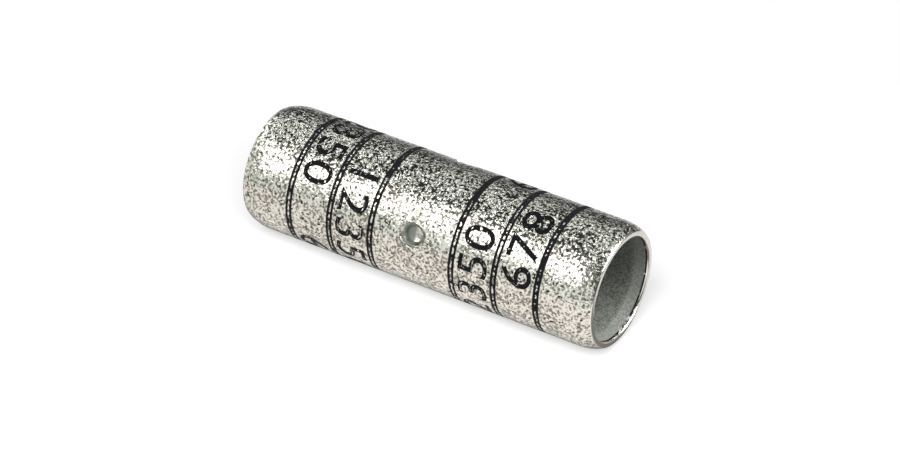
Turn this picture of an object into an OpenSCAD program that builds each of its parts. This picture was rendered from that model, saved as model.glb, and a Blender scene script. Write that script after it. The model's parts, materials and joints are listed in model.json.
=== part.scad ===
// Two-way compression splice: one length of seamless copper tube, tin plated, that joins two
// stranded conductors end to end. The bare conductors go in from both ends and butt against
// stop bumps at mid-length, then each half is crimped between its printed bands.
// The barrel stands on one end: axis on +Z, origin at the centre of the lower end face.

/* [Barrel] */
// Outside diameter of the barrel
barrel_d = 14.7; // [12:0.1:20]
// Thickness of the tube's wall, which leaves the conductor bore inside it
wall = 1.65; // [1.5:0.05:2.5]
// Overall length of the barrel
barrel_len = 45.5; // [30:0.5:70]

/* [Ends] */
// Length over which the outside is nosed in at each end
nose_len = 2.4; // [1.6:0.1:3.2]
// How far the nosed outside comes in, on the radius
nose_drop = 0.6; // [0.4:0.05:0.8]
// Radius of the edge between the nosed outside and the end face
edge_r = 0.3; // [0.15:0.05:0.4]
// Depth of the lead-in that guides the strands into each mouth
lead_in_len = 1.6; // [0.8:0.1:3]
// How far the lead-in opens the bore at the end face, on the radius
lead_in_rise = 0.45; // [0.2:0.05:0.55]

/* [Wire stop] */
// Angles of the stop stakes about the axis, in degrees
stake_angles = [-90, 36, 162]; // [-180:1:180]
// Diameter of the punch that drives each stake in
punch_d = 2; // [1.4:0.1:2.6]
// Depth of each stake below the outside of the barrel
stake_depth = 1; // [0.6:0.05:1.4]
// Radius of the lip that rolls from the outside of the barrel into each stake
lip_r = 1.1; // [0.6:0.1:1.6]
// How far the roll of the lip starts above the outside, which sets how sharply it breaks the surface
lip_rise = 0.05; // [0.03:0.01:0.1]
// Height of the stop bump that each stake raises inside the bore
bump_h = 0.9; // [0.5:0.05:1.3]
// Diameter of each stop bump where it leaves the bore wall
bump_d = 4.6; // [3.8:0.1:5.4]
// How far the wall is drawn in between the bumps, on the radius
drawn_in = 0.25; // [0.2:0.05:0.4]
// Length of drawn-in wall on each side of the bumps
drawn_reach = 0.5; // [0.3:0.1:1.5]

/* [Hidden] */

$fn = 96;

barrel_r = barrel_d / 2;
bore_r = barrel_r - wall;
mouth_r = bore_r + lead_in_rise;
mid_z = barrel_len / 2;

// Arc that runs tangent off the straight outside and meets the end face at the full drop
nose_r = (nose_len * nose_len + nose_drop * nose_drop) / (2 * nose_drop);
nose_centre = [barrel_r - nose_r, nose_len];

// Small arc that rolls from the nose onto the end face, tangent to both
edge_centre = [
  nose_centre.x + sqrt(pow(nose_r - edge_r, 2) - pow(nose_len - edge_r, 2)),
  edge_r
];
edge_slope = atan2(edge_centre.y - nose_centre.y, edge_centre.x - nose_centre.x);
edge_meets_nose = edge_centre + edge_r * [cos(edge_slope), sin(edge_slope)];
edge_meets_face = [edge_centre.x, 0];

// Sphere whose cap is the stop bump
bump_r = bump_d / 2;
dome_r = (bump_r * bump_r + bump_h * bump_h) / (2 * bump_h);

// Half the length of bore wall that staking draws in, which ends the two sockets
drawn_half = bump_r + drawn_reach;

// Room that a cutting shape has beyond the surface that it cuts
overcut = 1;

// Half section of the tube wall with sharp outer corners: x is the radius and y the height
module wall_section() {
  polygon([
    [mouth_r, 0],
    [barrel_r, 0],
    [barrel_r, barrel_len],
    [mouth_r, barrel_len],
    [bore_r, barrel_len - lead_in_len],
    [bore_r, mid_z + drawn_half],
    [bore_r - drawn_in, mid_z],
    [bore_r, mid_z - drawn_half],
    [bore_r, lead_in_len]
  ]);
}

// What the nosing takes off the lower outer corner of the half section
module nosed_corner() {
  difference() {
    translate([edge_centre.x, -overcut])
      square([barrel_r - edge_centre.x + overcut, nose_len + overcut]);
    translate(nose_centre)
      circle(r = nose_r);
  }
  difference() {
    polygon([
      edge_centre,
      edge_meets_face,
      [edge_meets_face.x, -overcut],
      [edge_meets_nose.x, -overcut],
      edge_meets_nose
    ]);
    translate(edge_centre)
      circle(r = edge_r);
  }
}

// The tube, turned about its axis, with both outer ends nosed in
module tube() {
  rotate_extrude()
    difference() {
      wall_section();
      nosed_corner();
      translate([0, barrel_len])
        mirror([0, 1])
          nosed_corner();
    }
}

// One punched stake along +X from its flat floor, with the lip rolled outwards
module stake() {
  lip_centre = [punch_d / 2 + lip_r, stake_depth + lip_rise - lip_r];
  translate([barrel_r - stake_depth, 0, 0])
    rotate([0, 90, 0])
      rotate_extrude()
        difference() {
          square([lip_centre.x, stake_depth + overcut]);
          translate(lip_centre)
            circle(r = lip_r);
          translate([punch_d / 2, lip_centre.y - barrel_r])
            square([lip_r + overcut, barrel_r]);
        }
}

// The bump that one stake raises along +X, rooted in the middle of the wall
module stop_bump() {
  intersection() {
    translate([bore_r - bump_h + dome_r, 0, 0])
      sphere(r = dome_r);
    cylinder(r = bore_r + wall / 2, h = 2 * dome_r, center = true);
  }
}

// Places what it is given at every stake
module at_stakes() {
  for (angle = stake_angles)
    translate([0, 0, mid_z])
      rotate([0, 0, angle])
        children();
}

module splice_barrel() {
  color("silver")
    difference() {
      union() {
        tube();
        at_stakes() stop_bump();
      }
      at_stakes() stake();
    }
}

splice_barrel();
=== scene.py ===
import json
import math

import bpy
import numpy as np
from mathutils import Matrix, Vector


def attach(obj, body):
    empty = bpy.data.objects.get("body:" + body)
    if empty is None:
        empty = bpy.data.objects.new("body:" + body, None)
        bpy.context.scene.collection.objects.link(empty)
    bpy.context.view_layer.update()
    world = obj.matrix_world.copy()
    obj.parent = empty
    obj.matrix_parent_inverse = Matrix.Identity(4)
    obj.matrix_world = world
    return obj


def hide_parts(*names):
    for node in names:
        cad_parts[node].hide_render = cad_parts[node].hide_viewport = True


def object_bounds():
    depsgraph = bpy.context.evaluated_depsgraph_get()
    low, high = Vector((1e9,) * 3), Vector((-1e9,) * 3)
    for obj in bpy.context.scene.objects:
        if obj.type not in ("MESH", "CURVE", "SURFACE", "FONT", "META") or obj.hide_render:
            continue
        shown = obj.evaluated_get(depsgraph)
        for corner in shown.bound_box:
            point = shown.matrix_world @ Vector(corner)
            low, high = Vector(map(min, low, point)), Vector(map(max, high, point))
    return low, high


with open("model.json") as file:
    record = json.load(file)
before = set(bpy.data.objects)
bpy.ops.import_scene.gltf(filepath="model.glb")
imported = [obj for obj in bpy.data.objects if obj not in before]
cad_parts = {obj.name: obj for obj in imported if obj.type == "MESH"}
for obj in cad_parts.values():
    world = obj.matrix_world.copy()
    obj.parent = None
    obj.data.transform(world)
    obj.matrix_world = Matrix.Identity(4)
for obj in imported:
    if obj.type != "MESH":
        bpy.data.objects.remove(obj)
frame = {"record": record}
cad_low, cad_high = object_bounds()

# Barrel: one length of seamless copper tube, cut square, nosed in at both outer ends and opened by a
# lead-in at both mouths. Three stop stakes are punched in at mid-length, which raise bumps in the bore,
# and then the whole barrel is tin plated.
mm = 0.001
film = 0.02 * mm
barrel_len = cad_high.z - cad_low.z
barrel_r = cad_high.x - film
bore_r = frame["record"]["mounts"][0]["dims"]["r_mm"] * mm
mid_z = barrel_len / 2

nose_len = 2.4 * mm
nose_drop = 0.6 * mm
edge_r = 0.3 * mm
lead_in_len = 1.6 * mm
lead_in_rise = 0.45 * mm
mouth_softness = 0.14 * mm
mouth_r = bore_r + lead_in_rise

stake_angles = [math.radians(angle) for angle in (-90, 36, 162)]
stake_depth = 1.0 * mm
punch_r = 1.0 * mm
lip_r = 1.1 * mm
lip_rise = 0.05 * mm
floor_dish = 0.14 * mm
sink_depth = 0.07 * mm
sink_reach = 2.8 * mm
bump_r = 2.3 * mm
bump_h = 0.9 * mm
drawn_in = 0.25 * mm
drawn_reach = 0.5 * mm
drawn_half = bump_r + drawn_reach

outside_row = 0.36 * mm
inside_row = 0.6 * mm
mouth_row = 0.1 * mm
segments = 256
mouth_steps = 4
edge_steps = 5
nose_steps = 9
merge_gap = 0.001 * mm
crease_angle = math.radians(50)


def straight(start, end, spacing):
    """Points after start, evenly spaced along a straight wall up to its end."""
    steps = max(1, round(math.dist(start, end) / spacing))
    return [(start[0] + (end[0] - start[0]) * i / steps, start[1] + (end[1] - start[1]) * i / steps)
            for i in range(1, steps + 1)]


def arc(centre, radius, start, end, steps):
    """Points after the start of an arc, up to its end. The angles are in radians."""
    return [(centre[0] + radius * math.cos(start + (end - start) * i / steps),
             centre[1] + radius * math.sin(start + (end - start) * i / steps))
            for i in range(1, steps + 1)]


def soft_corner(start, corner, end, steps):
    """Points of a corner rounded off between two walls, after its start."""
    shares = [i / steps for i in range(1, steps + 1)]
    return [tuple((1 - t) ** 2 * a + 2 * t * (1 - t) * b + t ** 2 * c
                  for a, b, c in zip(start, corner, end))
            for t in shares]


# The nose runs tangent off the straight outside, and a small edge arc rolls from it onto the end face
nose_r = (nose_len ** 2 + nose_drop ** 2) / (2 * nose_drop)
nose_centre = (barrel_r - nose_r, nose_len)
edge_centre = (nose_centre[0] + math.sqrt((nose_r - edge_r) ** 2 - (nose_len - edge_r) ** 2), edge_r)
edge_slope = math.atan2(edge_centre[1] - nose_centre[1], edge_centre[0] - nose_centre[0])

# Section of the lower half, from mid-length in the bore round the mouth to mid-length outside
lead_in_slope = math.dist((bore_r, lead_in_len), (mouth_r, 0))
mouth_start = (mouth_r - lead_in_rise * mouth_softness / lead_in_slope,
               lead_in_len * mouth_softness / lead_in_slope)
mouth_end = (mouth_r + mouth_softness, 0)
section = [(bore_r - drawn_in, mid_z)]
section += straight(section[-1], (bore_r, mid_z - drawn_half), inside_row / 2)
section += straight(section[-1], (bore_r, lead_in_len), inside_row)
section += straight(section[-1], mouth_start, mouth_row)
section += soft_corner(mouth_start, (mouth_r, 0), mouth_end, mouth_steps)
section += straight(section[-1], (edge_centre[0], 0), outside_row / 2)
section += arc(edge_centre, edge_r, -math.pi / 2, edge_slope, edge_steps)
section += arc(nose_centre, nose_r, edge_slope, 0, nose_steps)
section += straight(section[-1], (barrel_r, mid_z), outside_row)
section += [(radius, barrel_len - height) for radius, height in reversed(section[:-1])]

bpy.ops.object.select_all(action="DESELECT")
bpy.ops.mesh.primitive_plane_add(size=mm, enter_editmode=True)
barrel = bpy.context.object
barrel.name = "tinned_barrel"
bpy.ops.mesh.merge(type="CENTER")
bpy.ops.transform.translate(value=(section[0][0], 0, section[0][1]))
for (old_r, old_z), (new_r, new_z) in zip(section, section[1:]):
    bpy.ops.mesh.extrude_vertices_move(
        TRANSFORM_OT_translate={"value": (new_r - old_r, 0, new_z - old_z)})
bpy.ops.mesh.select_all(action="SELECT")
bpy.ops.mesh.spin(steps=segments, angle=2 * math.pi, center=(0, 0, 0), axis=(0, 0, 1))
bpy.ops.mesh.select_all(action="SELECT")
bpy.ops.mesh.remove_doubles(threshold=merge_gap)
bpy.ops.mesh.normals_make_consistent(inside=False)
bpy.ops.object.mode_set(mode="OBJECT")


def corners_of(piece):
    """The vertices of a piece as an array."""
    places = np.empty(len(piece.data.vertices) * 3)
    piece.data.vertices.foreach_get("co", places)
    return places.reshape(-1, 3)


def centres_of(piece):
    """The centres of a piece's faces as an array."""
    places = np.empty(len(piece.data.polygons) * 3)
    piece.data.polygons.foreach_get("center", places)
    return places.reshape(-1, 3)


def select_faces(piece, chosen):
    """Selects the chosen faces of a piece and leaves it in edit mode."""
    bpy.ops.object.mode_set(mode="EDIT")
    bpy.ops.mesh.select_mode(type="FACE")
    bpy.ops.mesh.select_all(action="DESELECT")
    bpy.ops.object.mode_set(mode="OBJECT")
    piece.data.polygons.foreach_set("select", chosen)
    bpy.ops.object.mode_set(mode="EDIT")


def from_stake(places, angle):
    """How far places lie from a stake's own axis, their turn away from it, and their radius."""
    turn = np.arctan2(places[:, 1], places[:, 0]) - angle
    turn = (turn + math.pi) % (2 * math.pi) - math.pi
    radius = np.hypot(places[:, 0], places[:, 1])
    across = np.hypot(radius * np.sin(turn), places[:, 2] - mid_z)
    across[np.abs(turn) > math.pi / 2] = barrel_len
    return across, turn, radius


# Finer faces where the punch went in, and finest in the stake itself
wall_r = (barrel_r + bore_r) / 2
stake_reach = punch_r + 0.8 * lip_r
for reach in (sink_reach, stake_reach):
    centres = centres_of(barrel)
    near = np.zeros(len(centres), bool)
    for angle in stake_angles:
        across, _, radius = from_stake(centres, angle)
        near |= (across < reach) & (radius > bore_r - bump_h)
    select_faces(barrel, near)
    bpy.ops.mesh.subdivide(number_cuts=1)
    bpy.ops.object.mode_set(mode="OBJECT")

places = corners_of(barrel)
sunk = np.zeros(len(places))
raised = np.zeros(len(places))
dome_r = (bump_r ** 2 + bump_h ** 2) / (2 * bump_h)
for angle in stake_angles:
    across, turn, radius = from_stake(places, angle)
    outside = radius > wall_r
    lip = np.clip(across, punch_r, punch_r + lip_r) - punch_r - lip_r
    dish = floor_dish * ((across / punch_r) ** 2 - 0.5)
    wall = lip_rise - lip_r + np.sqrt(np.maximum(lip_r ** 2 - lip ** 2, 0)) + stake_depth
    floor = np.where(across > punch_r, np.maximum(wall, dish), dish)
    punched = barrel_r - (barrel_r - stake_depth + floor) / np.cos(np.clip(turn, -1, 1))
    punched = np.where(across < punch_r + lip_r, np.maximum(punched, 0), 0)
    share = np.clip(1 - across / sink_reach, 0, 1)
    soft = sink_depth * share ** 2 * (3 - 2 * share)
    sunk = np.maximum(sunk, np.where(outside, np.maximum(punched, soft), 0))
    cap = dome_r - np.sqrt(np.maximum(dome_r ** 2 - np.minimum(across, dome_r) ** 2, 0))
    height = radius - (bore_r - bump_h + cap) / np.cos(np.clip(turn, -1, 1))
    raised = np.maximum(raised, np.where(~outside & (across < bump_r + mm), np.maximum(height, 0), 0))


def shape_by_weight(piece, name, depth, strength):
    """Pushes a piece's vertices along their normals by the given depths, inwards if strength is below 0."""
    group = piece.vertex_groups.new(name=name)
    deepest = depth.max()
    for index in np.flatnonzero(depth):
        group.add([int(index)], float(depth[index] / deepest), "REPLACE")
    push = piece.modifiers.new(name, "DISPLACE")
    push.vertex_group = name
    push.mid_level = 0
    push.strength = strength * deepest
    bpy.ops.object.modifier_apply(modifier=name)
    piece.vertex_groups.clear()


shape_by_weight(barrel, "stakes", sunk, -1)
shape_by_weight(barrel, "stop_bumps", raised, 1)

# The punch leaves each stake smoother than the plate around it. One side of each stake carries painted
# shade, dull and dark, where the bare wall would mirror a lamp.
burnish_range = (0.6, 1.6)
stake_shade_lean = 0.58
stake_shade_start = (-1.3 * mm, -1.05 * mm)
stake_shade_end = (0.65 * mm, 0.4 * mm)
stake_shade_depth = (0.1, 0.225)


def ramp(values, zero_at, one_at):
    """Values mapped in a straight line to 0 at one place and 1 at the other, and level beyond them."""
    return np.clip((values - zero_at) / (one_at - zero_at), 0, 1)


def mark(piece, name, values):
    """Gives every vertex of a piece a value, which its material reads by name."""
    piece.data.attributes.new(name, "FLOAT", "POINT").data.foreach_set("value", values)


# Painted shade: one side of each stake's wall and floor is marked dull and dark
past_wall = places[:, 2] - mid_z + stake_shade_lean * sunk
mark(barrel, "burnish", ramp(sunk / sink_depth, *burnish_range))
mark(barrel, "stake_shade", ramp(past_wall, *stake_shade_start) * ramp(past_wall, *stake_shade_end)
     * ramp(sunk / stake_depth, *stake_shade_depth))
bpy.ops.object.shade_smooth_by_angle(angle=crease_angle)

# Tin plate: bright grey metal with a fine crystal grain, pitted, and flecked by tarnish, with painted light
# and shade that make the flecks stronger on the side that lies up. The shifts keep the patterns from lining
# up.
tin_mid = (0.585, 0.545, 0.48, 1)
tin_light = (0.95, 0.905, 0.83, 1)
tin_dark = (0.03, 0.03, 0.028, 1)
up_side = math.radians(201.9)
pit_colour = (0.04, 0.035, 0.03, 1)
# Colour of the painted shade in the stakes
stake_shade_colour = (0.27, 0.285, 0.26, 1)
grain_size = 0.25 * mm
fleck_size = 0.165 * mm
pit_size = 0.16 * mm
mottle_size = 1.2 * mm
fleck_shift = 3.1
mottle_shift = 7.7
pit_shift = 11.3
grain_relief = 0.115 * mm
fleck_relief = 0.4
pit_relief = 0.2
mottle_share = 0.25
# Painted light and shade: the flecks grow stronger towards the up side
side_shade_range = (0.6, 0.95)
least_tarnish = 0.62
dark_range = (0.60, 0.56)
light_range = (0.64, 0.68)
pit_range = (0.31, 0.27)
noise_range = (0.35, 0.65)
tin_roughness = (0.22, 0.12)
# How much metal is left in the painted shade of the stakes
stake_shade_metallic = 0.2


def new_group(name, inputs, outputs):
    """An empty shader node group with the named sockets, and its input and output nodes."""
    group = bpy.data.node_groups.new(name, "ShaderNodeTree")
    for label, kind in inputs:
        group.interface.new_socket(label, in_out="INPUT", socket_type=kind)
    for label, kind in outputs:
        group.interface.new_socket(label, in_out="OUTPUT", socket_type=kind)
    return group, group.nodes.new("NodeGroupInput"), group.nodes.new("NodeGroupOutput")


def fill(tree, sockets, values):
    """Links each value to its socket, or sets it there where it is a plain number or colour."""
    for socket, value in zip(sockets, values):
        if isinstance(value, bpy.types.NodeSocket):
            tree.links.new(value, socket)
        elif value is not None:
            socket.default_value = value


def math_node(tree, operation, first, second=None):
    """A Math node whose two values are sockets or plain numbers. Gives its output socket."""
    node = tree.nodes.new("ShaderNodeMath")
    node.operation = operation
    fill(tree, node.inputs, (first, second))
    return node.outputs[0]


def spread(tree, value, low, high, to_low=0.0, to_high=1.0):
    """Maps a value smoothly from one range to another. Gives the output socket."""
    node = tree.nodes.new("ShaderNodeMapRange")
    node.interpolation_type = "SMOOTHSTEP"
    fill(tree, node.inputs, (value, low, high, to_low, to_high))
    return node.outputs["Result"]


def blend_colours(tree, factor, first, second):
    """A Mix node between two colours, each a socket or a plain colour. Gives the output socket."""
    node = tree.nodes.new("ShaderNodeMix")
    node.data_type = "RGBA"
    fill(tree, (node.inputs[0], node.inputs[6], node.inputs[7]), (factor, first, second))
    return node.outputs[2]


def noise(tree, vector, size, detail):
    """Noise with lumps of about the given size. Gives its value, about 0.5 on average."""
    node = tree.nodes.new("ShaderNodeTexNoise")
    sockets = [node.inputs[name] for name in ("Vector", "Scale", "Detail")]
    fill(tree, sockets, (vector, 0.5 / size, detail))
    return node.outputs["Fac"]


def shifted(tree, vector, metres):
    """Coordinates moved off by some metres along all three axes."""
    node = tree.nodes.new("ShaderNodeVectorMath")
    node.operation = "ADD"
    fill(tree, node.inputs, (vector, (metres, metres, metres)))
    return node.outputs[0]


def sideways(tree, vector, angle):
    """How far a place lies towards one side of the barrel, as a share of the barrel's radius."""
    node = tree.nodes.new("ShaderNodeVectorMath")
    node.operation = "DOT_PRODUCT"
    fill(tree, node.inputs, (vector, (math.cos(angle) / barrel_r, math.sin(angle) / barrel_r, 0)))
    return node.outputs["Value"]


plate, plate_in, plate_out = new_group(
    "tin_plate",
    [("Vector", "NodeSocketVector"), ("Wear", "NodeSocketFloat"), ("Grime", "NodeSocketFloat")],
    [("Color", "NodeSocketColor"), ("Roughness", "NodeSocketFloat"), ("Metallic", "NodeSocketFloat"),
     ("Height", "NodeSocketFloat")])
place = plate_in.outputs["Vector"]
worn = plate_in.outputs["Wear"]
# Painted light and shade: stronger flecks, both darker and lighter, towards the up side
towards_up = sideways(plate, place, up_side)
tarnish_and_side_shade = spread(plate, towards_up, *side_shade_range, least_tarnish, 1.0)
tarnish_and_side_shade = math_node(plate, "MULTIPLY", worn, tarnish_and_side_shade)
grain = noise(plate, place, grain_size, 1)
flecks = noise(plate, shifted(plate, place, fleck_shift), fleck_size, 2)
mottle = noise(plate, shifted(plate, place, mottle_shift), mottle_size, 2)
pits = noise(plate, shifted(plate, place, pit_shift), pit_size, 0)
patchy = math_node(plate, "ADD", flecks, math_node(plate, "MULTIPLY", mottle, mottle_share))
dark_flecks = math_node(plate, "MULTIPLY", spread(plate, patchy, *dark_range), tarnish_and_side_shade)
light_flecks = math_node(plate, "MULTIPLY", spread(plate, patchy, *light_range), tarnish_and_side_shade)
pit_mask = math_node(plate, "MULTIPLY", spread(plate, pits, *pit_range), worn)
colour = blend_colours(plate, dark_flecks, tin_mid, tin_dark)
colour = blend_colours(plate, light_flecks, colour, tin_light)
colour = blend_colours(plate, pit_mask, colour, pit_colour)
# Painted shade in the stakes darkens the colour and takes away some of the metal
colour = blend_colours(plate, plate_in.outputs["Grime"], colour, stake_shade_colour)
plate.links.new(colour, plate_out.inputs["Color"])
plate.links.new(spread(plate, flecks, *noise_range, *tin_roughness), plate_out.inputs["Roughness"])
plate.links.new(spread(plate, plate_in.outputs["Grime"], 0.0, 1.0, 1.0, stake_shade_metallic),
                plate_out.inputs["Metallic"])
relief = math_node(plate, "ADD", grain, math_node(plate, "MULTIPLY", flecks, fleck_relief))
relief = math_node(plate, "SUBTRACT", relief, math_node(plate, "MULTIPLY", pit_mask, pit_relief))
plate.links.new(math_node(plate, "MULTIPLY", relief, worn), plate_out.inputs["Height"])

# Band ink: black marking ink, rubbed off in flecks, most of all in the middle of each line
ink_colour = (0.006, 0.006, 0.008, 1)
ink_roughness = 0.6
ink_specular = 0.1
ink_fleck = 0.2 * mm
ink_shift = 5.3
ink_range = (0.19, 0.27)
rub_size = 3 * mm
rub_shift = 9.1
rub_side = math.radians(-70)
rub_side_share = 0.3
rub_range = (0.3, 0.8)
rub_most = 0.34
ink, ink_in, ink_out = new_group(
    "worn_ink",
    [("Vector", "NodeSocketVector"), ("Middle", "NodeSocketFloat")],
    [("Ink", "NodeSocketFloat")])
place = ink_in.outputs["Vector"]
cover = noise(ink, shifted(ink, place, ink_shift), ink_fleck, 1)
rub = noise(ink, shifted(ink, place, rub_shift), rub_size, 1)
towards_rub = math_node(ink, "MULTIPLY", sideways(ink, place, rub_side), rub_side_share)
rub = math_node(ink, "ADD", rub, towards_rub)
rubbed = math_node(ink, "MULTIPLY", spread(ink, rub, *rub_range, 0.0, rub_most), ink_in.outputs["Middle"])
kept_ink = spread(ink, math_node(ink, "SUBTRACT", cover, rubbed), *ink_range)
ink.links.new(kept_ink, ink_out.inputs["Ink"])


def new_material(name):
    """A material with its node tree, its Principled shader and the object's own coordinates."""
    material = bpy.data.materials.new(name)
    material.use_nodes = True
    shader = material.node_tree.nodes["Principled BSDF"]
    place = material.node_tree.nodes.new("ShaderNodeTexCoord").outputs["Object"]
    return material, material.node_tree, shader, place


def put_group(tree, group, **sockets):
    """Places a node group in a tree, with its inputs linked or set. Gives its outputs."""
    node = tree.nodes.new("ShaderNodeGroup")
    node.node_tree = group
    fill(tree, [node.inputs[label] for label in sockets], sockets.values())
    return node.outputs


def attribute(tree, name):
    """The value of one of the piece's own attributes."""
    node = tree.nodes.new("ShaderNodeAttribute")
    node.attribute_name = name
    return node.outputs["Fac"]


def bump(tree, height, distance, shader):
    """Raises the surface by a height pattern, whose full range is the given distance."""
    node = tree.nodes.new("ShaderNodeBump")
    fill(tree, (node.inputs["Height"], node.inputs["Distance"]), (height, distance))
    tree.links.new(node.outputs["Normal"], shader.inputs["Normal"])


def inked_tin(tree, shader, tin, inked):
    """Tin under an ink mask: where there is ink, the surface is black and no longer metal."""
    tree.links.new(blend_colours(tree, inked, tin["Color"], ink_colour), shader.inputs["Base Color"])
    tree.links.new(spread(tree, inked, 0.0, 1.0, tin["Roughness"], ink_roughness),
                   shader.inputs["Roughness"])
    tree.links.new(spread(tree, inked, 0.0, 1.0, tin["Metallic"], 0.0), shader.inputs["Metallic"])
    shader.inputs["Specular IOR Level"].default_value = ink_specular
    bump(tree, tin["Height"], grain_relief, shader)


# Outside of the barrel: tin with three printed rings on each half, evenly spaced, which guide the crimps
first_ring = 5.3 * mm
ring_pitch = 5.4 * mm
ring_half = 0.4 * mm
ring_edge = 0.04 * mm
ring_core = 0.17 * mm
rings_per_half = 3
burnished_wear = 0.3
outside_tin, tree, shader, place = new_material("tin_outside")
# The stakes' painted shade comes from the barrel's own marks
wear = spread(tree, attribute(tree, "burnish"), 0.0, 1.0, 1.0, burnished_wear)
tin = put_group(tree, plate, Vector=place, Wear=wear, Grime=attribute(tree, "stake_shade"))
parts = tree.nodes.new("ShaderNodeSeparateXYZ")
tree.links.new(place, parts.inputs[0])
from_mid = math_node(tree, "ABSOLUTE", math_node(tree, "SUBTRACT", parts.outputs["Z"], mid_z))
past_start = math_node(tree, "SUBTRACT", from_mid, first_ring - ring_pitch / 2)
past_start = math_node(tree, "MAXIMUM", past_start, 0.0)
past_start = math_node(tree, "MINIMUM", past_start, rings_per_half * ring_pitch)
off_ring = math_node(tree, "PINGPONG", past_start, ring_pitch / 2)
off_ring = math_node(tree, "SUBTRACT", ring_pitch / 2, off_ring)
in_ring = spread(tree, off_ring, ring_half + ring_edge, ring_half - ring_edge)
ring_middle = spread(tree, off_ring, ring_core, ring_core / 4)
inked = put_group(tree, ink, Vector=place, Middle=ring_middle)["Ink"]
inked_tin(tree, shader, tin, math_node(tree, "MULTIPLY", in_ring, inked))

# End faces: cut square under the plate, and smoother and paler than the drawn outside
rim_colour = (0.88, 0.83, 0.79, 1)
rim_share = 0.6
rim_wear = 0.3
rim_relief = grain_relief / 3
rim_tin, tree, shader, place = new_material("tin_rim")
tin = put_group(tree, plate, Vector=place, Wear=rim_wear)
shader.inputs["Metallic"].default_value = 1
tree.links.new(blend_colours(tree, rim_share, tin["Color"], rim_colour), shader.inputs["Base Color"])
tree.links.new(tin["Roughness"], shader.inputs["Roughness"])
bump(tree, tin["Height"], rim_relief, shader)

# Bore and lead-ins: the same plate, but dull and even, because nothing rubs it, and far darker than the
# outside, partly painted shade inside the tube. The lead-ins are reamed, so they are paler than the bore.
bore_grain = 0.11 * mm
bore_relief = grain_relief / 6
bore_metallic = 0.35
bore_roughness = 0.55


def dull_tin(name, dark, light):
    """Dull tin between two greys."""
    material, tree, shader, place = new_material(name)
    shader.inputs["Metallic"].default_value = bore_metallic
    shader.inputs["Roughness"].default_value = bore_roughness
    dull = noise(tree, place, bore_grain, 2)
    tone = spread(tree, dull, *noise_range)
    tree.links.new(blend_colours(tree, tone, dark, light), shader.inputs["Base Color"])
    bump(tree, dull, bore_relief, shader)
    return material


# The bore's greys lie far below the outside plate's, partly painted shade inside the tube
bore_tin = dull_tin("tin_bore", (0.118, 0.126, 0.11, 1), (0.27, 0.284, 0.25, 1))
lead_in_tin = dull_tin("tin_lead_in", (0.16, 0.164, 0.15, 1), (0.255, 0.259, 0.236, 1))

# Mouth edges: a dark line of painted shade where each lead-in meets the end face, broken by bright metal in
# places
edge_shade_colour = (0.03, 0.028, 0.025, 1)
edge_roughness = 0.4
edge_shade_depth = 0.4 * mm
gap_size = 0.5 * mm
gap_range = (0.55, 0.65)
mouth_edge_shade, tree, shader, place = new_material("tin_mouth_edge_shade")
shader.inputs["Metallic"].default_value = 1
shader.inputs["Roughness"].default_value = edge_roughness
line_gaps = spread(tree, noise(tree, place, gap_size, 2), *gap_range)
tree.links.new(blend_colours(tree, line_gaps, edge_shade_colour, rim_colour), shader.inputs["Base Color"])

# Each face takes the finish of the stretch that it lies on
rim_depth = 0.24 * mm
rim_roll = 0.4 * edge_r
for material in (outside_tin, bore_tin, lead_in_tin, mouth_edge_shade, rim_tin):
    barrel.data.materials.append(material)
centres = centres_of(barrel)
radius = np.hypot(centres[:, 0], centres[:, 1])
from_end = np.minimum(centres[:, 2], barrel_len - centres[:, 2])
in_bore = radius < mouth_r
in_lead = in_bore & (from_end < lead_in_len)
# Faces near each mouth's edge take the painted shade line
on_edge = in_bore & (from_end < edge_shade_depth)
on_rim = (radius > bore_r) & (from_end < np.where(in_bore, rim_depth, rim_roll))
for slot_index, chosen in enumerate((in_bore, in_lead, on_edge, on_rim), start=1):
    select_faces(barrel, chosen)
    barrel.active_material_index = slot_index
    bpy.ops.object.material_slot_assign()
    bpy.ops.object.mode_set(mode="OBJECT")
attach(barrel, "root")
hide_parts("splice_barrel")

# Numerals: plain numbers printed in ink between the rings, in four rows round the barrel. Each is a thin
# film of ink on the tin, with its top towards mid-length, and its strokes are rubbed like the rings.
numeral_h = 3.7 * mm
numeral_spread = 1.15
stroke_edge = 0.15 * mm
strip_w = 0.3 * mm
ink_proud = 0.008 * mm
ink_film = 0.03 * mm
row_text = "12350  678    "
row_step = 2 * math.pi / len(row_text)
stroke_swell = 0.004
numeral_rub = 0.3
middle_range = (0.5, 1.0)

# Half of the barrel, band counted from mid-length, and the angle in degrees at which the row starts
rows = ((1, 1, -125.4), (1, 2, -216.3), (-1, 1, -6.0), (-1, 2, 91.8))


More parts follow.
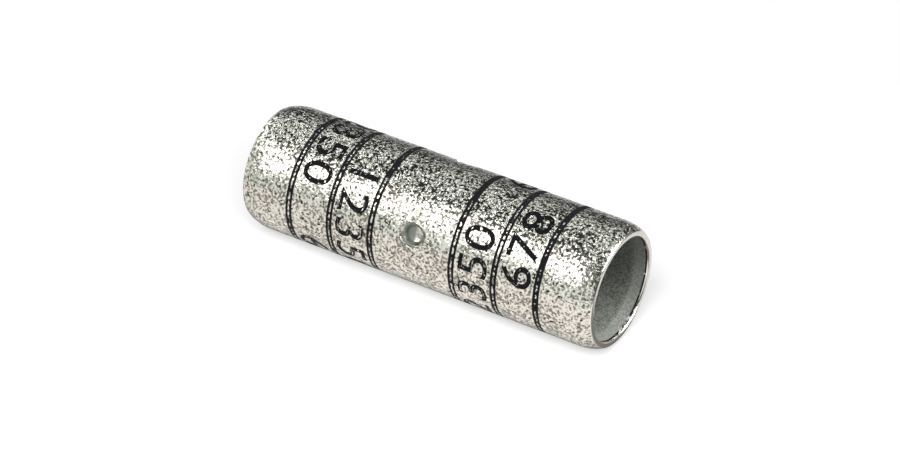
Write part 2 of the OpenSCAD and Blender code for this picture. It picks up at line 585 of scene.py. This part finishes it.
def model_numeral(character):
    """One flat number about the origin, cut in strips so that it can curve, its strokes' middle marked."""
    bpy.ops.object.select_all(action="DESELECT")
    bpy.ops.object.text_add()
    bpy.context.object.data.body = character
    bpy.context.object.data.offset = stroke_swell
    bpy.ops.object.convert(target="MESH")
    piece = bpy.context.object
    corners = corners_of(piece)
    low, high = corners.min(axis=0), corners.max(axis=0)
    size = numeral_h / (high[1] - low[1])
    bpy.ops.object.mode_set(mode="EDIT")
    bpy.ops.mesh.select_all(action="SELECT")
    bpy.ops.transform.translate(value=-(low + high) / 2)
    bpy.ops.transform.resize(value=(size * numeral_spread, size, size), center_override=(0, 0, 0))
    bpy.ops.mesh.remove_doubles(threshold=2 * merge_gap)
    bpy.ops.mesh.inset(thickness=stroke_edge, use_boundary=True, use_even_offset=True)
    bpy.ops.mesh.select_mode(type="VERT")
    bpy.ops.mesh.select_all(action="DESELECT")
    bpy.ops.mesh.select_non_manifold(
        use_wire=False, use_multi_face=False, use_non_contiguous=False, use_verts=False)
    bpy.ops.object.mode_set(mode="OBJECT")
    on_edge = np.empty(len(piece.data.vertices), bool)
    piece.data.vertices.foreach_get("select", on_edge)
    mark(piece, "middle", 1.0 - on_edge)
    bpy.ops.object.mode_set(mode="EDIT")
    half_w = size * numeral_spread * (high[0] - low[0]) / 2
    for cut in np.arange(strip_w - half_w, half_w, strip_w):
        bpy.ops.mesh.select_all(action="SELECT")
        bpy.ops.mesh.bisect(plane_co=(cut, 0, 0), plane_no=(1, 0, 0))
    bpy.ops.object.mode_set(mode="OBJECT")
    return piece


models = {character: model_numeral(character) for character in row_text.replace(" ", "")}
printed = []
for half, band, start in rows:
    height = mid_z - half * (first_ring + (band - 0.5) * ring_pitch)
    for index, character in enumerate(row_text):
        if character == " ":
            continue
        turn = math.radians(start) + half * row_step * index
        outwards = Vector((math.cos(turn), math.sin(turn), 0))
        upwards = Vector((0, 0, half))
        numeral = models[character].copy()
        numeral.data = models[character].data.copy()
        numeral.matrix_world = Matrix.Translation(outwards * cad_high.x + Vector((0, 0, height))) @ Matrix(
            (upwards.cross(outwards), upwards, outwards)).transposed().to_4x4()
        bpy.context.collection.objects.link(numeral)
        printed.append(numeral)
bpy.ops.object.select_all(action="DESELECT")
for model in models.values():
    model.select_set(True)
bpy.ops.object.delete()
for numeral in printed:
    numeral.select_set(True)
numerals = printed[0]
bpy.context.view_layer.objects.active = numerals
bpy.ops.object.join()
bpy.ops.object.transform_apply(location=True, rotation=True, scale=True)
numerals.name = "band_numerals"
wrap = numerals.modifiers.new("wrap", "SHRINKWRAP")
wrap.target = barrel
wrap.wrap_mode = "ABOVE_SURFACE"
wrap.offset = ink_proud - ink_film / 2
bpy.ops.object.modifier_apply(modifier="wrap")
thick = numerals.modifiers.new("thick", "SOLIDIFY")
thick.thickness = ink_film
thick.offset = 0
bpy.ops.object.modifier_apply(modifier="thick")
bpy.ops.object.shade_smooth_by_angle(angle=crease_angle)
numeral_ink, tree, shader, place = new_material("numeral_ink")
tin = put_group(tree, plate, Vector=place, Wear=1.0)
rubbed = spread(tree, attribute(tree, "middle"), *middle_range, 0.0, numeral_rub)
inked = put_group(tree, ink, Vector=place, Middle=rubbed)["Ink"]
inked_tin(tree, shader, tin, inked)
numerals.data.materials.append(numeral_ink)
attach(numerals, "root")

# Table: the barrel lies on its side on a white table, one stake towards the viewer. The table is seen
# only from above, so that the barrel also shows from below. In reflections it has a painted shadow near the
# barrel.
table_up = Vector((math.cos(up_side), math.sin(up_side), 0))
along = Vector((0, 0, 1))
front = along.cross(table_up)
middle = Vector((0, 0, mid_z))
table_half = 62 * mm
shade_start = 1.5 * mm
shade_end = 7.5 * mm
near_glow = 0.59
far_glow = 0.68
mirrored_glow = 0.03
paper_colour = (0.45, 0.45, 0.45, 1)
mirrored_paper = (0.8, 0.8, 0.79, 1)
mirrored_shade = (0.16, 0.16, 0.155, 1)
bpy.ops.object.select_all(action="DESELECT")
bpy.ops.mesh.primitive_plane_add(size=2 * table_half)
table = bpy.context.object
table.name = "white_table"
table.matrix_world = Matrix.Translation(middle - table_up * cad_high.x) @ Matrix(
    (along, table_up.cross(along), table_up)).transposed().to_4x4()
white, tree, shader, place = new_material("white_table_top")
tree.nodes.remove(shader)
paper = tree.nodes.new("ShaderNodeBsdfDiffuse")
glow = tree.nodes.new("ShaderNodeEmission")
path = tree.nodes.new("ShaderNodeLightPath")
parts = tree.nodes.new("ShaderNodeSeparateXYZ")
tree.links.new(place, parts.inputs[0])
beside = spread(tree, math_node(tree, "ABSOLUTE", parts.outputs["Y"]), shade_start, shade_end)
mirrored = blend_colours(tree, beside, mirrored_shade, mirrored_paper)
tree.links.new(blend_colours(tree, path.outputs["Is Glossy Ray"], paper_colour, mirrored),
               paper.inputs["Color"])
reflected = math_node(tree, "MAXIMUM", path.outputs["Is Glossy Ray"], path.outputs["Is Transmission Ray"])
direct = spread(tree, parts.outputs["Y"], 0.0, table_half, near_glow, far_glow)
direct = math_node(tree, "MULTIPLY", path.outputs["Is Camera Ray"], direct)
reflected = math_node(tree, "MULTIPLY", reflected, mirrored_glow)
tree.links.new(math_node(tree, "MAXIMUM", direct, reflected), glow.inputs["Strength"])
both = tree.nodes.new("ShaderNodeAddShader")
tree.links.new(paper.outputs[0], both.inputs[0])
tree.links.new(glow.outputs[0], both.inputs[1])
clear = tree.nodes.new("ShaderNodeBsdfTransparent")
side = tree.nodes.new("ShaderNodeNewGeometry")
one_sided = tree.nodes.new("ShaderNodeMixShader")
tree.links.new(side.outputs["Backfacing"], one_sided.inputs["Fac"])
tree.links.new(both.outputs[0], one_sided.inputs[1])
tree.links.new(clear.outputs[0], one_sided.inputs[2])
tree.links.new(one_sided.outputs[0], tree.nodes["Material Output"].inputs["Surface"])
table.data.materials.append(white)

# Light tent: a cloth ball round the table, dim at the back and pale in front and on the left, with bright
# strips along the barrel from overhead down to the back, which the grain of the tin picks up as sparkle
tent_r = 450 * mm
tent_back = 0.03
tent_front = 0.9
tent_left = 1.0
strip_top = 2.9
strip_back = 0.45
strip_pitch = math.radians(20)
strip_share = 0.24
strip_softness = 0.2
strip_start = (math.radians(-28), math.radians(-20))
strip_fade = (math.radians(25), math.radians(95))
front_range = (-0.5 * tent_r, -0.85 * tent_r)
left_range = (-0.65 * tent_r, -0.9 * tent_r)
tent_tint = (0.92, 1.0, 0.98, 1)
bpy.ops.object.select_all(action="DESELECT")
bpy.ops.mesh.primitive_uv_sphere_add(segments=48, ring_count=24, radius=tent_r)
tent = bpy.context.object
tent.name = "light_tent"
tent.matrix_world = table.matrix_world.copy()
tent.visible_camera = False
cloth, tree, shader, place = new_material("tent_cloth")
tree.nodes.remove(shader)
parts = tree.nodes.new("ShaderNodeSeparateXYZ")
tree.links.new(place, parts.inputs[0])
glow = tree.nodes.new("ShaderNodeEmission")
glow.inputs["Color"].default_value = tent_tint
level = spread(tree, parts.outputs["Y"], *front_range, tent_back, tent_front)
from_left = spread(tree, parts.outputs["X"], *left_range, 0.0, tent_left)
level = math_node(tree, "MAXIMUM", level, from_left)
backwards = math_node(tree, "ARCTAN2", parts.outputs["Y"], parts.outputs["Z"])
off_strip = math_node(tree, "PINGPONG", backwards, strip_pitch / 2)
strip_edge = strip_pitch * strip_share / 2
strip = spread(tree, off_strip, strip_edge * (1 + strip_softness), strip_edge * (1 - strip_softness))
strip = math_node(tree, "MULTIPLY", strip, spread(tree, backwards, *strip_start))
strip = math_node(tree, "MULTIPLY", strip, spread(tree, backwards, *strip_fade, strip_top, strip_back))
level = math_node(tree, "MAXIMUM", level, strip)
tree.links.new(level, glow.inputs["Strength"])
tree.links.new(glow.outputs[0], tree.nodes["Material Output"].inputs["Surface"])
tent.data.materials.append(cloth)


def light_only(light, pieces):
    """Keeps a light to the given pieces."""
    lit = bpy.data.collections.new(f"lit_by_{light.name}")
    for piece in pieces:
        lit.objects.link(piece)
    light.light_linking.receiver_collection = lit


light_only(tent, (barrel, numerals))


def hang_lamp(name, tilt, shift, away, width, length, level, lit_pieces):
    """A flat lamp that faces the barrel, tilted forwards from overhead and shifted along the barrel."""
    spot = middle + away * (math.sin(tilt) * front + math.cos(tilt) * table_up) + shift * along
    bpy.ops.object.light_add(type="AREA")
    lamp = bpy.context.object
    lamp.name = name
    lamp.data.shape = "RECTANGLE"
    lamp.data.size = length
    lamp.data.size_y = width
    lamp.data.energy = math.pi * width * length * level
    facing = (spot - middle).normalized()
    across = facing.cross(along).normalized()
    lamp.matrix_world = Matrix.Translation(spot) @ Matrix(
        (across.cross(facing), across, facing)).transposed().to_4x4()
    lamp.visible_camera = False
    light_only(lamp, lit_pieces)


hang_lamp("softbox", tilt=math.radians(44), shift=-165 * mm, away=330 * mm, width=240 * mm,
          length=280 * mm, level=2.8, lit_pieces=(barrel, numerals))
hang_lamp("mouth_lamp", tilt=math.radians(-28), shift=250 * mm, away=180 * mm, width=200 * mm,
          length=200 * mm, level=15, lit_pieces=(barrel,))
hang_lamp("table_lamp", tilt=math.radians(37), shift=95 * mm, away=350 * mm, width=170 * mm,
          length=340 * mm, level=12.4, lit_pieces=(table,))

# White backdrop all round, which only the camera sees past the tent
world = bpy.data.worlds.new("white_backdrop")
world.use_nodes = True
world.node_tree.nodes["Background"].inputs["Color"].default_value = (1, 1, 1, 1)
bpy.context.scene.world = world

# Camera: long lens, looking down on the table at the barrel, which lies turned away from the picture plane
camera_rise = math.radians(36.2)
camera_turn = math.radians(31.93)
camera_away = 379.8 * mm
lens_length = 136
sensor_width = 36
aim_right = 0.6 * mm
aim_down = 0.05 * mm
back = (math.cos(camera_rise) * (math.sin(camera_turn) * along + math.cos(camera_turn) * front)
        + math.sin(camera_rise) * table_up)
right = table_up.cross(back).normalized()
upright = back.cross(right)
bpy.ops.object.camera_add()
camera = bpy.context.object
camera.data.sensor_width = sensor_width
camera.data.lens = lens_length
camera.data.clip_start = 10 * mm
camera.matrix_world = Matrix.Translation(
    middle + back * camera_away + right * aim_right - upright * aim_down) @ Matrix(
    (right, upright, back)).transposed().to_4x4()
bpy.context.scene.camera = camera

bpy.context.scene.view_settings.view_transform = "Standard"
